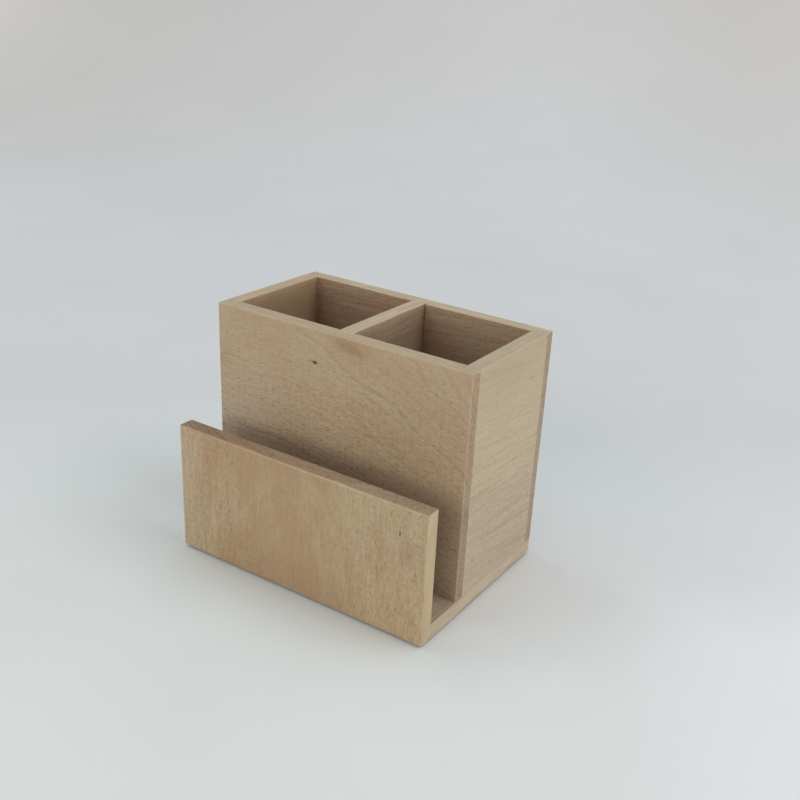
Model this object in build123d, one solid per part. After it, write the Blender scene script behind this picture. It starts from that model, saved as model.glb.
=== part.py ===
from build123d import *
import os

# Desk pencil cup in 6 mm beech board. A cup with two compartments stands on a base board. The base
# turns up at the front, over a mitre, into a low lip, and the gap behind the lip is a slot for cards.
# Millimetres. +Z is up and the lip faces -Y. The origin is on the desk, below the middle of the cup's outline.

# Overall sizes
width = 110.0              # outside, across both compartments
compartment_depth = 45.0   # clear, from the front wall to the back wall
slot_gap = 16.0            # clear, from the lip to the cup
cup_height = 93.0          # from the underside of the base to the rim
lip_height = 51.0          # from the underside of the base to the top of the lip

# Boards
base_thickness = 6.0       # base and lip alike, so that the mitre runs from corner to corner
wall_thickness = 6.0       # front, back and side walls of the cup
divider_thickness = 6.0
arris = 0.4                # radius sanded on the edges that a hand meets, after glue-up

# Joints
rabbet_depth = 1.8         # cut into the front and back walls for the ends of the side walls
housing_depth = 1.8        # groove in the front and back walls for the ends of the divider
spline_thickness = 1.5     # loose tongue across the mitre
spline_width = 5.0         # half of it in each board
spline_stop = 10.0         # from each end of the mitre, so that the tongue doesn't show
spline_inset = 1.0         # from the middle of the mitre towards its inner corner
glue_film = 0.05           # on each side of the tongue

# Pads under the base
pad_diameter = 10.0
pad_height = 1.0
pad_inset = 10.0           # from the edges of the base to the middle of a pad

# Heights
base_bottom = pad_height
base_top = base_bottom + base_thickness
lip_top = base_bottom + lip_height
rim = base_bottom + cup_height

# Places across the width
side = width / 2
side_inner = side - wall_thickness
divider_side = divider_thickness / 2

# Places from front to back
depth = base_thickness + slot_gap + 2 * wall_thickness + compartment_depth
front = -depth / 2
back = depth / 2
lip_back = front + base_thickness
cup_front = lip_back + slot_gap
inner_front = cup_front + wall_thickness
inner_back = back - wall_thickness


def block(x, y, z):
    """Box between two places along each axis."""
    low = Vector(x[0], y[0], z[0])
    high = Vector(x[1], y[1], z[1])
    size = high - low
    return Pos(low + size / 2) * Box(size.X, size.Y, size.Z)


def edges_above(solid, height):
    """Edges of a solid that don't lie flat at this height."""
    return [edge for edge in solid.edges() if edge.center().Z > height + arris / 2]


def edges_below(solid, height):
    """Edges of a solid that lie, or have their middle, below this height."""
    return [edge for edge in solid.edges() if edge.center().Z < height - arris / 2]


def mitred_boards():
    """Base and lip, each cut on the 45 degree plane through their outer corner, with a groove for the tongue."""
    mitre = Plane(origin=(0, front, base_bottom), x_dir=(1, 0, 0), z_dir=(0, -1, 1))
    base = block((-side, side), (front, back), (base_bottom, base_top))
    base = fillet(edges_below(base, base_top), arris)
    base = split(base, bisect_by=mitre, keep=Keep.BOTTOM)
    lip = block((-side, side), (front, lip_back), (base_bottom, lip_top))
    lip = fillet(lip.edges(), arris)
    lip = split(lip, bisect_by=mitre, keep=Keep.TOP)

    middle = Pos(0, front + base_thickness / 2, base_bottom + base_thickness / 2) * Rot(45, 0, 0)
    tongue_length = width - 2 * spline_stop
    tongue = middle * Pos(0, spline_inset, 0) * Box(tongue_length, spline_thickness, spline_width)
    groove = middle * Pos(0, spline_inset, 0) * Box(
        tongue_length + 2 * glue_film,
        spline_thickness + 2 * glue_film,
        spline_width + 2 * glue_film,
    )
    return base - groove, lip - groove, tongue


def cup_block():
    """The whole cup as it is sanded after glue-up: outer corners and both rims eased, feet left sharp."""
    cup = block((-side, side), (cup_front, back), (base_top, rim))
    cup = fillet(edges_above(cup, base_top), arris)
    for x in ((-side_inner, -divider_side), (divider_side, side_inner)):
        cup -= block(x, (inner_front, inner_back), (base_top, rim))
    mouths = cup.faces().sort_by(Axis.Z)[-1].inner_wires()
    return fillet([edge for mouth in mouths for edge in mouth.edges()], arris)


def end_wall(cup, outer, inner):
    """Front or back wall, rabbeted at both ends for the side walls and grooved for the divider."""
    into = 1 if inner < outer else -1
    height = (base_top, rim)
    wall = cup & block((-side, side), sorted((outer, inner)), height)
    rabbet = sorted((inner, inner + into * rabbet_depth))
    for x in ((-side, -side_inner), (side_inner, side)):
        wall -= block(x, rabbet, height)
    wall -= block((-divider_side, divider_side), sorted((inner, inner + into * housing_depth)), height)
    return wall


def cup_boards():
    """The five boards of the cup, cut out of its sanded block along the joint lines."""
    cup = cup_block()
    height = (base_top, rim)
    side_length = (inner_front - rabbet_depth, inner_back + rabbet_depth)
    divider_length = (inner_front - housing_depth, inner_back + housing_depth)
    return {
        "cup_front_wall": end_wall(cup, cup_front, inner_front),
        "cup_back_wall": end_wall(cup, back, inner_back),
        "cup_left_wall": cup & block((-side, -side_inner), side_length, height),
        "cup_right_wall": cup & block((side_inner, side), side_length, height),
        "divider": cup & block((-divider_side, divider_side), divider_length, height),
    }


def pads():
    """Four felt discs stuck under the corners of the base."""
    discs = {}
    for end, y in (("front", front + pad_inset), ("back", back - pad_inset)):
        for hand, x in (("left", -side + pad_inset), ("right", side - pad_inset)):
            discs[f"pad_{end}_{hand}"] = Pos(x, y, pad_height / 2) * Cylinder(pad_diameter / 2, pad_height)
    return discs


base_board, front_lip, mitre_spline = mitred_boards()
pieces = {
    "base_board": base_board,
    "front_lip": front_lip,
    "mitre_spline": mitre_spline,
    **cup_boards(),
    **pads(),
}

os.makedirs("parts", exist_ok=True)
for name, piece in pieces.items():
    export_step(piece, f"parts/{name}.step")
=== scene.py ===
import math

import bmesh
import bpy
from mathutils import Euler, Matrix, Vector


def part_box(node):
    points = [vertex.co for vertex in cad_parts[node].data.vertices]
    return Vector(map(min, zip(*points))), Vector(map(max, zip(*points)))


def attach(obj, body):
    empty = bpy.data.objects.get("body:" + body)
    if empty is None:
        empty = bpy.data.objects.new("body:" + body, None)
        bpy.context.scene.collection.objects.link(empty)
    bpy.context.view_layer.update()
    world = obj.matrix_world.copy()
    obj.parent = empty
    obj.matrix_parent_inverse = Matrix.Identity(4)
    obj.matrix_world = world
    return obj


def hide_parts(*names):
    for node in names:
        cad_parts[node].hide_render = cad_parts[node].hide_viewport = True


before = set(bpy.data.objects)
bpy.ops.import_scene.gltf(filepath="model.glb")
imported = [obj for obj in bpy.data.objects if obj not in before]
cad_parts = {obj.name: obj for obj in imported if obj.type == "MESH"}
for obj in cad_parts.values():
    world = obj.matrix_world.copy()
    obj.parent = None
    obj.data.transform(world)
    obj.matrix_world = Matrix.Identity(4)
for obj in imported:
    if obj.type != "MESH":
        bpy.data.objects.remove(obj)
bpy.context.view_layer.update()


# Base board: 6 mm beech with its grain from front to back, planed, sanded and left bare.
# It carries the whole cup. Its front edge is sawn at 45 degrees for the mitre below the lip,
# and a stopped groove in the sawn face takes one half of the loose tongue.
base_low, base_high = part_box("base_board")
lip_low, lip_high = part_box("front_lip")
tongue_low, tongue_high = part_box("mitre_spline")
side = base_high.x
front = lip_low.y
back = base_high.y
base_bottom = base_low.z
base_top = base_high.z
base_thickness = base_top - base_bottom
arris = 0.0006         # rounding of the outer edges
arris_steps = 3
inner_arris = 0.00015  # rounding of the edges that are only just eased
inner_steps = 2
hairline = 0.00005     # flat along the edges of a joint
mitre_chamfer = 0.0002
tongue_thickness = 0.0015
tongue_width = 0.005
tongue_fit = 0.00005   # glue on each side of the tongue
same_place = 1e-6      # corners closer than this are one
to_mm = 1000.0         # the patterns of the materials are sized in millimetres


def paint(red, green, blue):
    """A colour by its screen values, from 0 to 255."""
    shares = (red / 255, green / 255, blue / 255)
    return (*(s / 12.92 if s <= 0.04045 else ((s + 0.055) / 1.055) ** 2.4 for s in shares), 1.0)


def new_block(name, low, high):
    """A box between two corners, the sawn blank of a board, with its place in its mesh."""
    low, high = Vector(low), Vector(high)
    bpy.ops.object.select_all(action="DESELECT")
    bpy.ops.mesh.primitive_cube_add(size=1, location=(low + high) / 2, scale=high - low)
    block = bpy.context.object
    block.name = block.data.name = name
    bpy.ops.object.transform_apply(location=True, rotation=True, scale=True)
    return block


def keeps_to(corners, place):
    """True if all these corners lie where the place says along the axes that it names."""
    return all(abs(getattr(c.co, axis) - at) < same_place for c in corners for axis, at in place.items())


def ease(block, radius, steps, *places):
    """Rounds the edges at these places. A place gives the axes along which an edge stays put, and where.

    Rounded arrises are marked on their faces, since hands polish them. A hairline, in one step, isn't.
    """
    bpy.ops.object.mode_set(mode="EDIT")
    bpy.ops.mesh.select_mode(type="EDGE")
    bpy.ops.mesh.select_all(action="DESELECT")
    mesh = bmesh.from_edit_mesh(block.data)
    for edge in mesh.edges:
        if any(keeps_to(edge.verts, place) for place in places):
            edge.select_set(True)
    mesh.select_flush_mode()
    bmesh.update_edit_mesh(block.data)
    bpy.ops.mesh.bevel(offset=radius, segments=steps, affect="EDGES")
    if steps > 1:
        mesh = bmesh.from_edit_mesh(block.data)
        handled = mesh.faces.layers.float.get("handled") or mesh.faces.layers.float.new("handled")
        for face in mesh.faces:
            if face.select:
                face[handled] = 1.0
        bmesh.update_edit_mesh(block.data)
    bpy.ops.object.mode_set(mode="OBJECT")


def saw(block, through, facing):
    """Cuts a block along a plane, throws away the side that the plane faces and closes the cut."""
    bpy.ops.object.mode_set(mode="EDIT")
    bpy.ops.mesh.select_all(action="SELECT")
    bpy.ops.mesh.bisect(plane_co=through, plane_no=facing, use_fill=True, clear_outer=True)
    bpy.ops.object.mode_set(mode="OBJECT")


def groove_mitre(block, facing):
    """Sinks half of the tongue's groove into the mitre face: inset, shaped to the mouth, pushed in."""
    facing = Vector(facing).normalized()
    rim_width = 0.001
    mitre_width = base_thickness * math.sqrt(2) - mitre_chamfer / math.sqrt(2)
    mouth_length = tongue_high.x - tongue_low.x + 2 * tongue_fit
    mouth_width = tongue_thickness + 2 * tongue_fit
    along = mouth_length / (2 * side - 2 * rim_width)
    across = mouth_width / (mitre_width - 2 * rim_width)
    bpy.ops.object.mode_set(mode="EDIT")
    bpy.ops.mesh.select_mode(type="FACE")
    bpy.ops.mesh.select_all(action="DESELECT")
    mesh = bmesh.from_edit_mesh(block.data)
    sawn = max(mesh.faces, key=lambda face: face.normal.dot(facing))
    middle = sawn.calc_center_median()
    sawn.select_set(True)
    bmesh.update_edit_mesh(block.data)
    bpy.ops.mesh.inset(thickness=rim_width)
    bpy.ops.transform.resize(value=(along, across, across), center_override=middle)
    bpy.ops.transform.translate(value=(tongue_low + tongue_high) / 2 - middle)
    bpy.ops.mesh.extrude_region_move(
        TRANSFORM_OT_translate={"value": -facing * (tongue_width / 2 + tongue_fit)}
    )
    bpy.ops.object.mode_set(mode="OBJECT")


def sand(block):
    """Merges doubled corners, and lets rounded arrises shade smoothly while the flats stay flat."""
    bpy.ops.object.mode_set(mode="EDIT")
    bpy.ops.mesh.select_all(action="SELECT")
    bpy.ops.mesh.remove_doubles(threshold=same_place)
    bpy.ops.object.mode_set(mode="OBJECT")
    bpy.ops.object.shade_smooth_by_angle(angle=math.radians(40))
    bpy.ops.object.modifier_add(type="WEIGHTED_NORMAL")
    block.modifiers[-1].keep_sharp = True
    bpy.ops.object.modifier_apply(modifier=block.modifiers[-1].name)


class Recipe:
    """Builds up a set of shader nodes. Each step takes plain values or the results of other steps."""

    def __init__(self, tree):
        self.tree = tree

    def node(self, kind, inputs=None, **settings):
        """Adds any node and gives its outputs."""
        made = self.tree.nodes.new(kind)
        for key, value in settings.items():
            setattr(made, key, value)
        for key, value in (inputs or {}).items():
            if isinstance(value, bpy.types.NodeSocket):
                self.tree.links.new(value, made.inputs[key])
            else:
                made.inputs[key].default_value = value
        return made.outputs

    def sum(self, operation, *values):
        """A number worked out from others."""
        return self.node("ShaderNodeMath", dict(enumerate(values)), operation=operation)[0]

    def times(self, *values):
        """The product of some numbers."""
        product = values[0]
        for value in values[1:]:
            product = self.sum("MULTIPLY", product, value)
        return product

    def vector(self, operation, *values):
        """A vector worked out from others, or its length."""
        made = self.node("ShaderNodeVectorMath", dict(enumerate(values)), operation=operation)
        return made["Value" if operation == "LENGTH" else "Vector"]

    def here(self):
        """The place on the piece, in mm."""
        return self.vector("MULTIPLY", self.node("ShaderNodeTexCoord")["Object"], (to_mm, to_mm, to_mm))

    def parts(self, vector):
        """The three parts of a vector."""
        return self.node("ShaderNodeSeparateXYZ", {0: vector})

    def ramp(self, value, start, end, low=0.0, high=1.0):
        """A soft step between two levels."""
        inputs = {"Value": value, 1: start, 2: end, 3: low, 4: high}
        return self.node("ShaderNodeMapRange", inputs, interpolation_type="SMOOTHSTEP")[0]

    def mix(self, share, first, second, kind="MIX"):
        """Two colours mixed or multiplied."""
        inputs = {0: share, 6: first, 7: second}
        return self.node("ShaderNodeMix", inputs, data_type="RGBA", blend_type=kind)[2]

    def clouds(self, place, cycles, detail=2.0):
        """Soft noise with so many cycles a millimetre along each axis."""
        inputs = {0: self.vector("MULTIPLY", place, cycles), "Scale": 1.0, "Detail": detail}
        return self.node("ShaderNodeTexNoise", inputs)

    def drift(self, place, cycles, reach):
        """A soft random shift of a place, so far to each side."""
        noise = self.vector("SUBTRACT", self.clouds(place, cycles)["Color"], (0.5, 0.5, 0.5))
        return self.vector("MULTIPLY", noise, reach)

    def wave(self, distance, cycles):
        """Soft noise along a distance."""
        return self.node("ShaderNodeTexNoise", {"W": distance, "Scale": cycles}, noise_dimensions="1D")[0]

    def finish(self, colour, roughness, height, relief):
        """Feeds the surface with the finished colour, roughness and relief."""
        shader = self.tree.nodes["Principled BSDF"].inputs
        bump = self.node("ShaderNodeBump", {"Height": height, "Strength": 0.35, "Distance": relief})[0]
        self.tree.links.new(colour, shader["Base Color"])
        self.tree.links.new(roughness, shader["Roughness"])
        self.tree.links.new(bump, shader["Normal"])
        shader["Specular IOR Level"].default_value = 0.35


def beech(
    name, grain, width, thickness, tilt, lean, pith, seed, pale, rosy, bow=(0.0, 0.0), ring=1.3,
    lines=1.0, streaks=1.0, fibres=1.0, flecks=0.8, heart=0.0, sanded_and_lit=0.0, band=None, marks=(),
):
    """Bare beech as a solid, so that faces, edges and ends of a board belong together. In mm.

    grain, width and thickness are the board's own axes. tilt turns the grain in the board's face and lean
    turns it out of the face, in degrees. bow is where along the grain the fibres crest, and how fast they
    fall away on both sides. pith is where the middle of the tree lay, across the width and the thickness.
    pale and rosy are the two tones of the wood, and heart is how much rosier the flat sawn part is.
    ring is the mean width of a year. lines, streaks, fibres and flecks say how plainly the late wood, the
    broad and the fine fibres and the rays show. The sanding setting says how much paler the long edges are:
    partly from sanding, and partly painted light on the rims, which face the light above.
    A band is a change of tone at a place across the width: where, how soft, and the tone below it.
    Marks are knots and stains: where, how far they reach, how they are turned, their colour and strength.
    """
    late_brown = paint(126, 94, 68)
    ray_pale = paint(226, 208, 180)
    ray_brown = paint(104, 76, 52)
    sanded_and_lit_pale = paint(214, 194, 164)
    end_shade = paint(226, 220, 217)
    pore_brown = paint(98, 74, 54)
    worn_pale = paint(214, 196, 170)

    material = bpy.data.materials.new(name)
    material.use_nodes = True
    r = Recipe(material.node_tree)
    here = r.here()
    axes = r.parts(here)
    board = r.node("ShaderNodeCombineXYZ", {0: axes[grain], 1: axes[width], 2: axes[thickness]})[0]
    angles = (0.0, math.radians(lean), math.radians(tilt))
    wood = r.node("ShaderNodeMapping", {0: board, "Rotation": angles})[0]
    crest = r.sum("POWER", r.sum("ABSOLUTE", r.sum("SUBTRACT", axes[grain], bow[0])), 2.0)
    wood = r.vector("ADD", wood, r.node("ShaderNodeCombineXYZ", {1: r.times(crest, bow[1])})[0])
    seeded = r.vector("ADD", wood, (seed * 71.0, seed * 37.0, seed * 53.0))

    # The rings sway and ripple as the trunk grew, and are unevenly wide and dark.
    bent = r.drift(seeded, (0.011, 0.024, 0.03), (0.0, 11.0, 11.0))
    bent = r.vector("ADD", bent, r.drift(seeded, (0.06, 0.14, 0.1), (0.0, 2.2, 2.2)))
    across = r.vector("SUBTRACT", r.vector("ADD", wood, bent), (0.0, pith[0], pith[1]))
    across = r.vector("MULTIPLY", across, (0.0, 1.0, 1.0))
    radius = r.vector("LENGTH", across)
    rift = r.sum("DIVIDE", r.sum("ABSOLUTE", r.parts(across)[1]), radius)
    count = r.sum("ADD", r.sum("DIVIDE", radius, ring), r.times(r.wave(radius, 0.16), 3.0))
    season = r.sum("FRACT", count)
    year = r.node("ShaderNodeTexWhiteNoise", {"W": r.sum("FLOOR", count)}, noise_dimensions="1D")["Value"]
    late = r.sum("SUBTRACT", r.ramp(season, 0.3, 0.92), r.ramp(season, 0.92, 1.0))
    late = r.times(late, r.ramp(year, 0.0, 1.0, 0.35, 0.95))
    late = r.times(late, r.ramp(r.wave(count, 0.21), 0.35, 0.65, 0.25, 1.0))

    # Sawn across, the fibres swallow light: end grain is darker, with plain rings and pores.
    facing = r.parts(r.node("ShaderNodeNewGeometry")["Normal"])
    end = r.ramp(r.sum("ABSOLUTE", facing[grain]), 0.55, 0.9)
    along = r.sum("SUBTRACT", 1.0, end)
    edge = r.ramp(r.sum("ABSOLUTE", facing[width]), 0.55, 0.9)
    broad = r.times(along, r.sum("MULTIPLY_ADD", edge, -0.92, 1.0))
    pores = r.clouds(seeded, (0.3, 0.8, 0.8), 3.0)[0]

    # Fibres run with the grain. Rays are thin upright sheets, cut to short dashes on the broad faces.
    # Most are small and faint, and a few are longer and darker. They show less where the board is flat
    # sawn. Each set has its cells a mm, how slender a ray is in its cell, how many cells stay empty, and
    # how dark the rays are.
    placed = r.vector("ADD", seeded, r.vector("MULTIPLY", bent, (0.4, 0.4, 0.4)))
    fibre = r.clouds(placed, (0.05, 1.3, 0.8))[0]
    streak = r.clouds(placed, (0.018, 0.55, 0.3))[0]
    dash = r.sum("ADD", r.clouds(placed, (0.45, 2.2, 0.1), 1.0)[0], r.times(late, 0.08 * lines))
    light = r.times(r.ramp(dash, 0.44, 0.3), broad)
    dark = r.ramp(dash, 0.56, 0.8, 0.0, 0.5)
    for spread, slender, rarity, strength in (
        ((0.6, 1.9, 0.06), (2.0, 3.2, 0.8), 0.15, 0.6),
        ((0.36, 1.2, 0.04), (2.6, 4.0, 0.8), 0.55, 1.0),
    ):
        cells = r.vector("MULTIPLY", placed, spread)
        rays = r.node("ShaderNodeTexVoronoi", {"Vector": cells, "Scale": 1.0})
        lens = r.vector("MULTIPLY", r.vector("SUBTRACT", cells, rays["Position"]), slender)
        chance = r.node("ShaderNodeSeparateColor", {0: rays["Color"]})[0]
        chance = r.ramp(chance, rarity, 1.0, 0.0, strength)
        dark = r.sum("MAXIMUM", dark, r.times(r.ramp(r.vector("LENGTH", lens), 1.0, 0.3), chance))
    dark = r.times(dark, broad)
    clear = r.sum("MAXIMUM", r.ramp(rift, 0.15, 0.65, 0.45, 1.0), edge)

    # Tones drift across the board and with the rings. Knots and stains belong to the tone, and late wood,
    # streaks, fibres and rays lie on top.
    mottle = r.clouds(placed, (0.03, 0.06, 0.07))[0]
    tone = r.sum("ADD", r.times(mottle, 0.6), r.times(r.wave(radius, 0.11), 0.4))
    tone = r.sum("ADD", tone, r.ramp(rift, 0.2, 0.6, heart, -heart))
    colour = r.mix(r.ramp(tone, 0.38, 0.64), pale, rosy)
    if band:
        level, softness, lower = band
        height = r.parts(r.vector("ADD", wood, r.vector("MULTIPLY", bent, (0.2, 0.2, 0.2))))[1]
        height = r.sum("ADD", height, r.ramp(streak, 0.3, 0.7, -1.2, 1.2))
        colour = r.mix(r.ramp(height, level + softness, level - softness), colour, lower)
        near = r.sum("SUBTRACT", r.ramp(height, level + 2, level), r.ramp(height, level - 5, level - 12))
        late = r.times(late, r.sum("ADD", r.times(near, 1.6), 0.6))
    for at, reach, turn, stain, strength in marks:
        turn = tuple(math.radians(angle) for angle in turn)
        inputs = {0: here, "Location": at, "Rotation": turn, "Scale": reach}
        away = r.vector("LENGTH", r.node("ShaderNodeMapping", inputs, vector_type="TEXTURE")[0])
        colour = r.mix(r.ramp(away, 1.0, 0.2, 0.0, strength), colour, stain)
    # Paler long edges: partly sanding, and partly painted light on the rims that face up.
    if sanded_and_lit:
        colour = r.mix(r.times(edge, sanded_and_lit), colour, sanded_and_lit_pale)
    colour = r.mix(r.times(late, r.sum("MULTIPLY_ADD", end, 0.42, 0.2 * lines)), colour, late_brown)
    combed = r.ramp(streak, 0.3, 0.7, -0.05 * streaks, 0.05 * streaks)
    combed = r.sum("ADD", combed, r.ramp(fibre, 0.3, 0.7, -0.07 * fibres, 0.07 * fibres))
    combed = r.times(combed, clear, along)
    depth = {"Saturation": r.sum("MULTIPLY_ADD", combed, -0.7, 1.0), "Value": r.sum("ADD", combed, 1.0)}
    colour = r.node("ShaderNodeHueSaturation", {"Color": colour, **depth})[0]
    colour = r.mix(r.times(light, clear, 0.12 * flecks), colour, ray_pale)
    colour = r.mix(r.times(dark, clear, 0.48 * flecks), colour, ray_brown)
    sawn = r.mix(1.0, colour, end_shade, "MULTIPLY")
    sawn = r.mix(r.ramp(pores, 0.42, 0.7, 0.0, 0.35), sawn, pore_brown)
    colour = r.mix(end, colour, sawn)
    handled = r.node("ShaderNodeAttribute", attribute_name="handled")["Fac"]
    worn = r.times(handled, r.ramp(mottle, 0.3, 0.6, 0.3, 1.0))
    colour = r.mix(r.times(worn, 0.12), colour, worn_pale)

    height = r.sum("SUBTRACT", r.times(fibre, 0.5), r.times(dark, 0.6))
    height = r.sum("SUBTRACT", height, r.times(pores, end, 0.8))
    matt = r.sum("SUBTRACT", r.ramp(fibre, 0.25, 0.75, 0.66, 0.54), r.times(worn, 0.1))
    r.finish(colour, matt, height, 0.00012)
    return material


mitre_out = (0, -1, 1)
base = new_block("beech_base", (-side, front, base_bottom), (side, back, base_top))
saw(base, (0, front, base_bottom), mitre_out)
saw(base, (0, front + mitre_chamfer, base_bottom), (0, -1, -1))
groove_mitre(base, mitre_out)
ease(
    base, arris, arris_steps,
    {"x": -side, "z": base_bottom}, {"x": side, "z": base_bottom}, {"y": back, "z": base_bottom},
    {"x": -side, "y": back}, {"x": side, "y": back},
)
ease(base, hairline, 1, {"x": -side, "z": base_top}, {"x": side, "z": base_top}, {"y": back, "z": base_top})
sand(base)
base.data.materials.append(beech(
    "base_beech", "Y", "X", "Z", tilt=-2, lean=1.5, pith=(12, -46), seed=1,
    pale=paint(186, 166, 144), rosy=paint(181, 158, 136),
))
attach(base, "root")
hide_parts("base_board")


# Front lip: a low board of the same beech, set upright with its grain upright, so that the figure runs
# over the mitre from the base. Its top is end grain, redder at the left and paler to the right. It is
# glued to the base along the mitre, where the other half of the tongue sits in its groove.
lip_back = lip_high.y
lip_top = lip_high.z
lip_face = front * to_mm
mitre_in = (0, 1, -1)
lip = new_block("beech_lip", (-side, front, base_bottom), (side, lip_back, lip_top))
saw(lip, (0, front, base_bottom), mitre_in)
saw(lip, (0, front + mitre_chamfer, base_bottom), (0, -1, -1))
groove_mitre(lip, mitre_in)
ease(
    lip, arris, arris_steps,
    {"x": -side, "z": lip_top}, {"x": side, "z": lip_top},
    {"y": front, "z": lip_top},
    {"x": -side, "y": front}, {"x": side, "y": front},
    {"x": -side, "y": lip_back}, {"x": side, "y": lip_back},
)
ease(lip, inner_arris, inner_steps, {"y": lip_back, "z": lip_top})
sand(lip)
lip.data.materials.append(beech(
    "lip_beech", "Z", "X", "Y", tilt=1, lean=8, pith=(-3, 14), seed=2,
    pale=paint(185, 163, 132), rosy=paint(177, 147, 116), heart=0.1,
    ring=1.7, lines=0.45, streaks=0.9, fibres=0.5, flecks=1.5,
    marks=(
        ((44.2, lip_face, 41.6), (0.5, 2.0, 1.6), (0, 0, 0), paint(64, 42, 28), 0.9),
        ((46.6, lip_face, 34.0), (4.5, 3.0, 7.5), (0, 0, 0), paint(158, 120, 92), 0.4),
        ((-47.0, -36.5, 52.0), (16.0, 8.0, 1.5), (0, 0, 0), paint(156, 114, 90), 0.2),
        ((12.0, -36.5, 52.0), (64.0, 8.0, 1.5), (0, 0, 0), paint(206, 182, 152), 0.55),
        ((-37.0, -37.1, 52.0), (9.0, 0.6, 1.5), (0, 0, -22), paint(104, 72, 54), 0.45),
        ((-44.0, -36.4, 52.0), (7.0, 0.5, 1.5), (0, 0, -26), paint(104, 74, 58), 0.3),
        ((-50.5, -36.6, 52.0), (5.0, 0.6, 1.5), (0, 0, -30), paint(206, 186, 166), 0.45),
        ((26.0, -36.2, 52.0), (19.0, 0.5, 1.5), (0, 0, 7), paint(208, 188, 156), 0.5),
        ((-8.0, lip_face, 3.0), (44.0, 4.0, 18.0), (0, 0, 0), paint(158, 126, 96), 0.3),
        ((42.0, lip_face, 14.0), (26.0, 4.0, 22.0), (0, 0, 0), paint(190, 154, 122), 0.3),
        ((-53.0, lip_face, 28.0), (6.0, 4.0, 44.0), (0, 0, 0), paint(196, 176, 154), 0.35),
    ),
))
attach(lip, "root")
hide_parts("front_lip")


# Mitre tongue: a sawn strip of beech, glued across the mitre with its grain across the joint.
# It stops short of both ends of the mitre, so it shows nowhere on the finished cup.
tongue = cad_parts["mitre_spline"]
tongue.data.materials.clear()
tongue.data.materials.append(beech(
    "tongue_beech", "Y", "X", "Z", tilt=0, lean=45, pith=(20, -60), seed=3,
    pale=paint(180, 152, 118), rosy=paint(170, 140, 108),
))


# Cup front wall: beech with its grain along the width, arched a little. Both ends are rabbeted on the
# inside for the side walls, and a groove in the middle takes the divider. The face has short dark ray
# flecks, one pin knot and a brown stain below the rim. Paler patches low down, most on the left, are
# painted light in the shade of the lip.
front_low, front_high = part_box("cup_front_wall")
right_low, right_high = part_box("cup_right_wall")
divider_low, divider_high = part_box("divider")
cup_front = front_low.y
inner_front = front_high.y
rim = front_high.z
side_inner = right_low.x
divider_side = divider_high.x
lap_front = right_low.y


def end_wall(name, outer, lap, inner, groove_right):
    """A wall that laps over the side walls: a thin slab, with its inside built out between the joints."""
    low = (-side, min(outer, lap), base_top)
    high = (side, max(outer, lap), rim)
    wall = new_block(name, low, high)
    bpy.ops.object.mode_set(mode="EDIT")
    joints = (-side_inner, -divider_side, groove_right, side_inner)
    for x in joints:
        bpy.ops.mesh.select_all(action="SELECT")
        bpy.ops.mesh.bisect(plane_co=(x, 0, 0), plane_no=(1, 0, 0))
    bpy.ops.mesh.select_mode(type="FACE")
    bpy.ops.mesh.select_all(action="DESELECT")
    mesh = bmesh.from_edit_mesh(wall.data)
    for face in mesh.faces:
        inside = divider_side < abs(face.calc_center_median().x) < side_inner
        if inside and keeps_to(face.verts, {"y": lap}):
            face.select_set(True)
    bmesh.update_edit_mesh(wall.data)
    bpy.ops.mesh.extrude_region_move(TRANSFORM_OT_translate={"value": (0, inner - lap, 0)})
    bpy.ops.mesh.select_all(action="SELECT")
    bpy.ops.mesh.dissolve_limited(angle_limit=math.radians(1))
    bpy.ops.object.mode_set(mode="OBJECT")
    ease(
        wall, arris, arris_steps,
        {"y": outer, "z": rim}, {"x": -side, "z": rim}, {"x": side, "z": rim},
        {"x": -side, "y": outer}, {"x": side, "y": outer},
    )
    ease(wall, inner_arris, inner_steps, {"y": inner, "z": rim})
    joint_lines = [{"x": x, "y": lap} for x in (-side, side)]
    joint_lines += [{"x": x, "z": rim} for x in joints]
    joint_lines += [{"x": x, "y": inner} for x in joints]
    joint_lines += [{"x": x, "z": base_top} for x in (-side, side)]
    ease(wall, hairline, 1, *joint_lines, {"y": lap, "z": rim}, {"y": outer, "z": base_top})
    sand(wall)
    return wall


front_wall = end_wall("beech_front_wall", cup_front, lap_front, inner_front, divider_side)
front_face = cup_front * to_mm
front_wall.data.materials.append(beech(
    "front_wall_beech", "X", "Z", "Y", tilt=0, lean=-8, pith=(108, 52), seed=4, bow=(-4.0, 0.0021),
    pale=paint(186, 164, 136), rosy=paint(184, 157, 129), sanded_and_lit=0.3,
    ring=1.5, lines=1.5, streaks=0.3, fibres=0.4, flecks=1.7,
    band=(50.4, 4.5, paint(173, 149, 128)),
    marks=(
        # Painted light: this patch and the next lighten the lip's shade low on the face, most on the left.
        ((-46.0, front_face, 50.0), (28.0, 6.0, 21.0), (0, 0, 0), paint(198, 181, 161), 0.65),
        ((-5.0, front_face, 38.0), (62.0, 6.0, 16.0), (0, 0, 0), paint(204, 184, 160), 0.5),
        ((-36.0, front_face, 70.0), (20.0, 6.0, 16.0), (0, 0, 0), paint(196, 176, 152), 0.25),
        ((36.0, front_face, 64.0), (42.0, 6.0, 44.0), (0, 0, 0), paint(160, 133, 104), 0.22),
        ((-9.4, front_face, 81.7), (1.5, 2.0, 1.0), (0, 0, 0), paint(40, 26, 18), 1.0),
        ((-9.6, front_face, 81.9), (4.0, 2.0, 0.7), (0, 0, 0), paint(118, 90, 64), 0.35),
        ((5.0, front_face, 90.6), (13.0, 0.8, 5.5), (0, 6, 0), paint(160, 126, 92), 0.42),
        ((3.6, front_face, 91.4), (6.0, 0.8, 2.0), (0, 6, 0), paint(152, 114, 80), 0.3),
        ((7.8, front_face, 89.8), (5.0, 0.8, 2.0), (0, 8, 0), paint(148, 110, 78), 0.3),
    ),
))
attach(front_wall, "root")
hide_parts("cup_front_wall")
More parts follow.
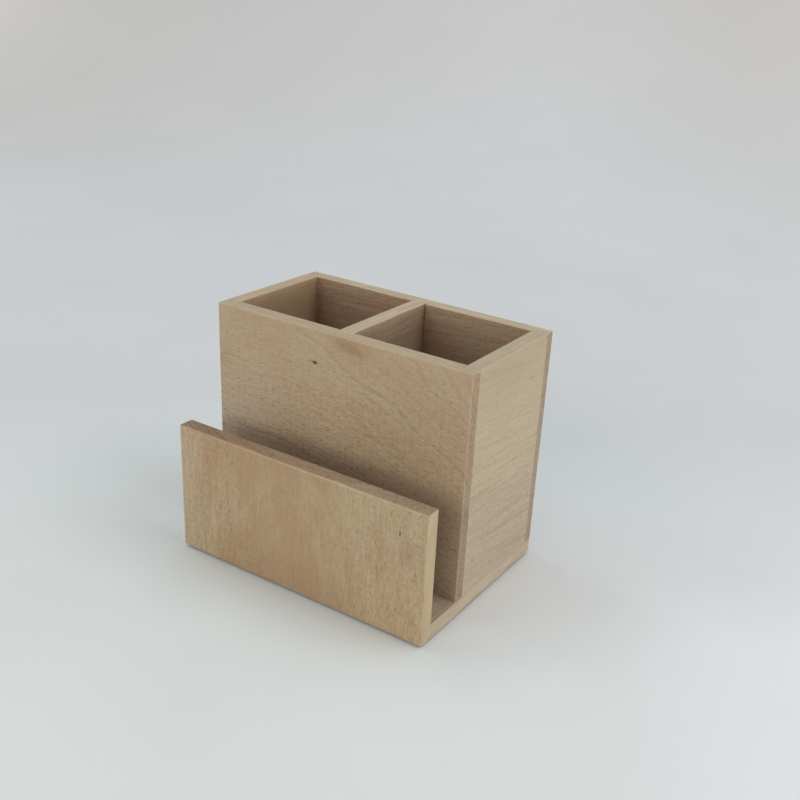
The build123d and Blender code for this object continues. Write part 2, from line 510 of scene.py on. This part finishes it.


# Cup back wall: the twin of the front wall, with its rabbets and groove facing forward. Its groove was cut
# a hair wide, which leaves a thin dark slit on the right of the divider. Painted shade darkens its inner
# corners beside the left wall and the divider.
groove_play = 0.00035
inner_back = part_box("cup_back_wall")[0].y
inside_back = inner_back * to_mm
lap_back = right_high.y
back_wall = end_wall("beech_back_wall", back, lap_back, inner_back, divider_side + groove_play)
back_wall.data.materials.append(beech(
    "back_wall_beech", "X", "Z", "Y", tilt=-3, lean=-3, pith=(40, -35), seed=5,
    pale=paint(181, 158, 132), rosy=paint(175, 147, 123), flecks=1.2, sanded_and_lit=0.55,
    marks=(
        ((55.0, 37.4, 45.0), (3.0, 6.0, 70.0), (0, 0, 0), paint(194, 182, 166), 0.4),
        # Painted shade in the inner corners, beside the left wall and on the right of the divider, darker
        # lower down.
        ((-49.0, inside_back, 48.0), (7.0, 3.0, 56.0), (0, 0, 0), paint(96, 72, 52), 0.5),
        ((3.0, inside_back, 48.0), (8.0, 3.0, 56.0), (0, 0, 0), paint(96, 72, 52), 0.5),
    ),
))
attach(back_wall, "root")
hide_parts("cup_back_wall")


# Cup side walls: two boards between the front and back walls, with their ends glued into the rabbets and
# their grain from front to back, falling a little towards the back. The upper half is yellowish and
# the lower half greyer and rosier, with fine rings where the tone changes.
for hand, name, inner, outer, seed, pale, rosy, flecks in (
    ("left", "cup_left_wall", -side_inner, -side, 6, paint(190, 163, 131), paint(186, 157, 126), 1.0),
    ("right", "cup_right_wall", side_inner, side, 7, paint(184, 166, 139), paint(180, 160, 135), 1.0),
):
    low = (min(inner, outer), lap_front, base_top)
    high = (max(inner, outer), lap_back, rim)
    face = outer * to_mm
    wall = new_block(f"beech_{hand}_wall", low, high)
    ease(wall, arris, arris_steps, {"x": outer, "z": rim})
    ease(wall, inner_arris, inner_steps, {"x": inner, "z": rim})
    ease(
        wall, hairline, 1,
        {"x": outer, "y": lap_front}, {"x": outer, "y": lap_back}, {"x": outer, "z": base_top},
        {"y": lap_front, "z": rim}, {"y": lap_back, "z": rim},
    )
    sand(wall)
    wall.data.materials.append(beech(
        f"{hand}_wall_beech", "Y", "Z", "X", tilt=5, lean=1, pith=(90, 10), seed=seed,
        pale=pale, rosy=rosy, ring=1.2, lines=0.6, streaks=0.5, fibres=0.6, flecks=flecks, sanded_and_lit=0.38,
        band=(45.0, 3.0, paint(179, 159, 139)),
        marks=(
            ((face, 12.0, 94.0), (0.8, 60.0, 26.0), (0, 0, 0), paint(166, 143, 114), 0.3),
            ((face, 25.5, 80.0), (2.0, 2.6, 0.7), (0, 0, 0), paint(140, 114, 88), 0.45),
            ((face, 8.0, 67.8), (3.0, 22.0, 0.6), (0, 0, 0), paint(150, 124, 96), 0.25),
            ((face, 14.0, 30.9), (3.0, 36.0, 1.2), (-4, 0, 0), paint(150, 126, 106), 0.22),
            ((face, 16.0, 24.6), (3.0, 40.0, 1.1), (-5, 0, 0), paint(142, 118, 98), 0.3),
            ((face, 22.0, 13.0), (3.0, 26.0, 2.6), (-14, 0, 0), paint(160, 136, 116), 0.25),
        ),
    ))
    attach(wall, "root")
    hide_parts(name)


# Divider: one board from front to back between the compartments, housed in the grooves of both walls.
# It is level with the rim, and its grain runs from front to back like that of the side walls.
divider = new_block("beech_divider", divider_low, divider_high)
ease(divider, inner_arris, inner_steps, {"x": -divider_side, "z": rim}, {"x": divider_side, "z": rim})
ease(divider, hairline, 1, {"y": divider_low.y, "z": rim}, {"y": divider_high.y, "z": rim})
sand(divider)
divider.data.materials.append(beech(
    "divider_beech", "Y", "Z", "X", tilt=-2, lean=1, pith=(60, -44), seed=8,
    pale=paint(192, 165, 138), rosy=paint(187, 155, 130), sanded_and_lit=0.5,
))
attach(divider, "root")
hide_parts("divider")


# Felt pads: four punched discs of grey brown wool felt, stuck under the corners of the base.
# They lift the base by a millimetre, which leaves a thin dark gap above the table.
pad_edge = 0.00025
pad_sides = 72
for corner in ("front_left", "front_right", "back_left", "back_right"):
    pad_low, pad_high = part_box(f"pad_{corner}")
    bpy.ops.object.select_all(action="DESELECT")
    bpy.ops.mesh.primitive_cylinder_add(
        vertices=pad_sides, radius=(pad_high.x - pad_low.x) / 2, depth=pad_high.z - pad_low.z,
        location=(pad_low + pad_high) / 2,
    )
    pad = bpy.context.object
    pad.name = pad.data.name = f"felt_pad_{corner}"
    bpy.ops.object.transform_apply(location=True, rotation=True, scale=True)
    ease(pad, pad_edge, 2, {"z": pad_low.z}, {"z": pad_high.z})
    bpy.ops.object.shade_smooth_by_angle(angle=math.radians(50))
    if corner == "front_left":
        felt = bpy.data.materials.new("wool_felt")
        felt.use_nodes = True
        r = Recipe(felt.node_tree)
        spot = r.here()
        tangle = r.clouds(spot, (2.6, 2.6, 2.6), 5.0)[0]
        patches = r.clouds(spot, (0.5, 0.5, 0.5))[0]
        wool = r.mix(r.ramp(tangle, 0.35, 0.65), paint(96, 88, 80), paint(134, 124, 113))
        wool = r.mix(r.ramp(patches, 0.4, 0.7, 0.0, 0.4), wool, paint(88, 80, 74))
        r.finish(wool, r.ramp(tangle, 0.3, 0.7, 0.98, 0.88), tangle, 0.0004)
    pad.data.materials.append(felt)
    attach(pad, "root")
    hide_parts(f"pad_{corner}")


# Stage: one sheet of pale paper lies under the cup and curves up behind it. Its colour carries painted
# light and shade: painted shade darkens it from the foot of the cup backwards, where the cup's soft
# shadows fall, painted light brightens it near the right of the cup, and it is a trace greener in the
# shade around the cup. Far away and far to the right it is painted duller and warmer, as less light
# reaches there.
sheet_reach = 1.38
sheet_front = -1.4
sheet_back = 1.1
sheet_height = 2.5
sheet_bend = 0.7
bend_steps = 24
line_of_sight = math.radians(-30.5)
bpy.ops.object.select_all(action="DESELECT")
bpy.ops.mesh.primitive_plane_add(size=2 * sheet_reach, location=(0, sheet_back - sheet_reach, 0))
paper = bpy.context.object
paper.name = paper.data.name = "paper_sheet"
bpy.ops.object.transform_apply(location=True, rotation=True, scale=True)
saw(paper, (0, sheet_front, 0), (0, -1, 0))
bpy.ops.object.mode_set(mode="EDIT")
bpy.ops.mesh.select_mode(type="EDGE")
bpy.ops.mesh.select_all(action="DESELECT")
sheet = bmesh.from_edit_mesh(paper.data)
for edge in sheet.edges:
    if keeps_to(edge.verts, {"y": sheet_back}):
        edge.select_set(True)
bmesh.update_edit_mesh(paper.data)
bpy.ops.mesh.extrude_region_move(TRANSFORM_OT_translate={"value": (0, 0, sheet_height)})
bpy.ops.object.mode_set(mode="OBJECT")
ease(paper, sheet_bend, bend_steps, {"y": sheet_back, "z": 0.0})
bpy.ops.object.shade_smooth()
pulp = bpy.data.materials.new("pale_paper")
pulp.use_nodes = True
r = Recipe(pulp.node_tree)
spot = r.node("ShaderNodeTexCoord")["Object"]
tooth = r.clouds(spot, (9.0, 9.0, 9.0), 3.0)[0]
seen_along = r.node("ShaderNodeMapping", {0: spot, "Rotation": (0.0, 0.0, line_of_sight)})[0]
right = r.parts(seen_along)["X"]
away = r.parts(seen_along)["Y"]
# Painted shade: darker from the foot of the cup backwards, where its soft shadows fall.
tone = r.mix(r.ramp(away, -0.12, 0.16), paint(243, 241, 242), paint(228, 226, 228))
# Painted light: brighter near the right of the cup, towards the camera.
lit_near_right = r.times(r.ramp(right, 0.08, 0.14), r.ramp(away, 0.0, -0.06))
tone = r.mix(lit_near_right, tone, paint(253, 249, 252))
# Painted shade: duller and warmer far away.
tone = r.mix(r.ramp(away, 0.55, 1.0), tone, paint(252, 248, 246), "MULTIPLY")
# Painted shade: duller and warmer far to the right.
shaded_far_right = r.times(r.ramp(right, 0.08, 0.36), r.ramp(away, 0.25, 0.75))
tone = r.mix(shaded_far_right, tone, paint(245, 242, 239), "MULTIPLY")
# Painted shade colour: a trace greener in the shade around the cup.
tone = r.mix(r.ramp(r.vector("LENGTH", spot), 0.3, 0.08), tone, paint(251, 255, 253), "MULTIPLY")
tone = r.mix(r.ramp(tooth, 0.3, 0.7, 0.0, 0.1), tone, paint(196, 200, 202))
r.finish(tone, r.ramp(tooth, 0.2, 0.8, 0.85, 0.95), tooth, 0.0001)
paper.data.materials.append(pulp)


# Light: large soft panels, as in a bright room. Low ones stand all round, and a level strip on the right
# lights the side wall without reaching into the cup. Others hang in front, on the left and above.
# The room beyond the paper is pale and adds little light.
def panel(name, at, aim, width, height, power, colour):
    """A soft rectangular light at a place, turned towards another."""
    bpy.ops.object.light_add(type="AREA", location=at)
    light = bpy.context.object
    light.name = light.data.name = name
    light.rotation_euler = (Vector(aim) - Vector(at)).to_track_quat("-Z", "Y").to_euler()
    light.data.shape = "RECTANGLE"
    light.data.size = width
    light.data.size_y = height
    light.data.energy = power
    light.data.color = colour


panel("low_right", (1.4, 0.1, 0.22), (0, 0.1, 0.05), 2.2, 0.4, 5.0, (0.97, 1.0, 1.0))
panel("level_right", (1.4, 0.1, 0.09), (0, 0.1, 0.09), 2.2, 0.16, 6.65, (0.88, 1.0, 0.9))
panel("low_left", (-1.4, 0, 0.25), (0, 0, 0.05), 2.0, 0.45, 2.6, (1.0, 1.0, 0.91))
panel("low_front", (-0.1, -1.5, 0.35), (0, 0, 0.05), 2.0, 0.6, 7.6, (1.0, 1.0, 0.88))
panel("high_front", (0, -1.5, 1.0), (0, 0, 0.05), 2.0, 0.6, 4.45, (1.12, 1.0, 1.02))
panel("high_left", (-1.0, -0.2, 1.2), (0, 0, 0.03), 1.2, 1.2, 6.55, (0.89, 1.0, 0.96))
panel("above", (0, 0.4, 1.6), (0, 0.4, 0), 1.4, 1.2, 6.65, (0.88, 1.0, 1.12))
panel("above_right", (1.4, 0.4, 1.6), (1.4, 0.4, 0), 1.4, 1.2, 12.1, (1.01, 1.0, 0.98))
room_fill = 0.03
room = bpy.data.worlds.new("pale_room")
bpy.context.scene.world = room
room.use_nodes = True
r = Recipe(room.node_tree)
room_light = room.node_tree.nodes["Background"].inputs
room_light["Color"].default_value = paint(208, 211, 212)
seen = r.node("ShaderNodeLightPath")["Is Camera Ray"]
room.node_tree.links.new(r.ramp(seen, 0.0, 1.0, room_fill, 1.0), room_light["Strength"])


# Camera: in front and to the right of the cup, a little above it, held with a slight roll.
lens_width = 36.0
picture_side = 800
focal_pixels = 1011.5
middle_pixel = (440.17, 429.58)
heading = 30.522
downward = 24.646
roll = 3.9
stand = (0.19946, -0.28153, 0.21202)
camera_data = bpy.data.cameras.new("view_from_right")
camera_data.sensor_width = lens_width
camera_data.lens = focal_pixels / picture_side * lens_width
camera_data.shift_x = 0.5 - middle_pixel[0] / picture_side
camera_data.shift_y = middle_pixel[1] / picture_side - 0.5
camera = bpy.data.objects.new("view_from_right", camera_data)
bpy.context.collection.objects.link(camera)
turn = Euler((math.radians(90 - downward), 0, math.radians(heading))).to_matrix()
turn = turn @ Matrix.Rotation(math.radians(roll), 3, "Z")
camera.matrix_world = Matrix.Translation(stand) @ turn.to_4x4()
bpy.context.scene.camera = camera
bpy.context.scene.view_settings.view_transform = "Standard"
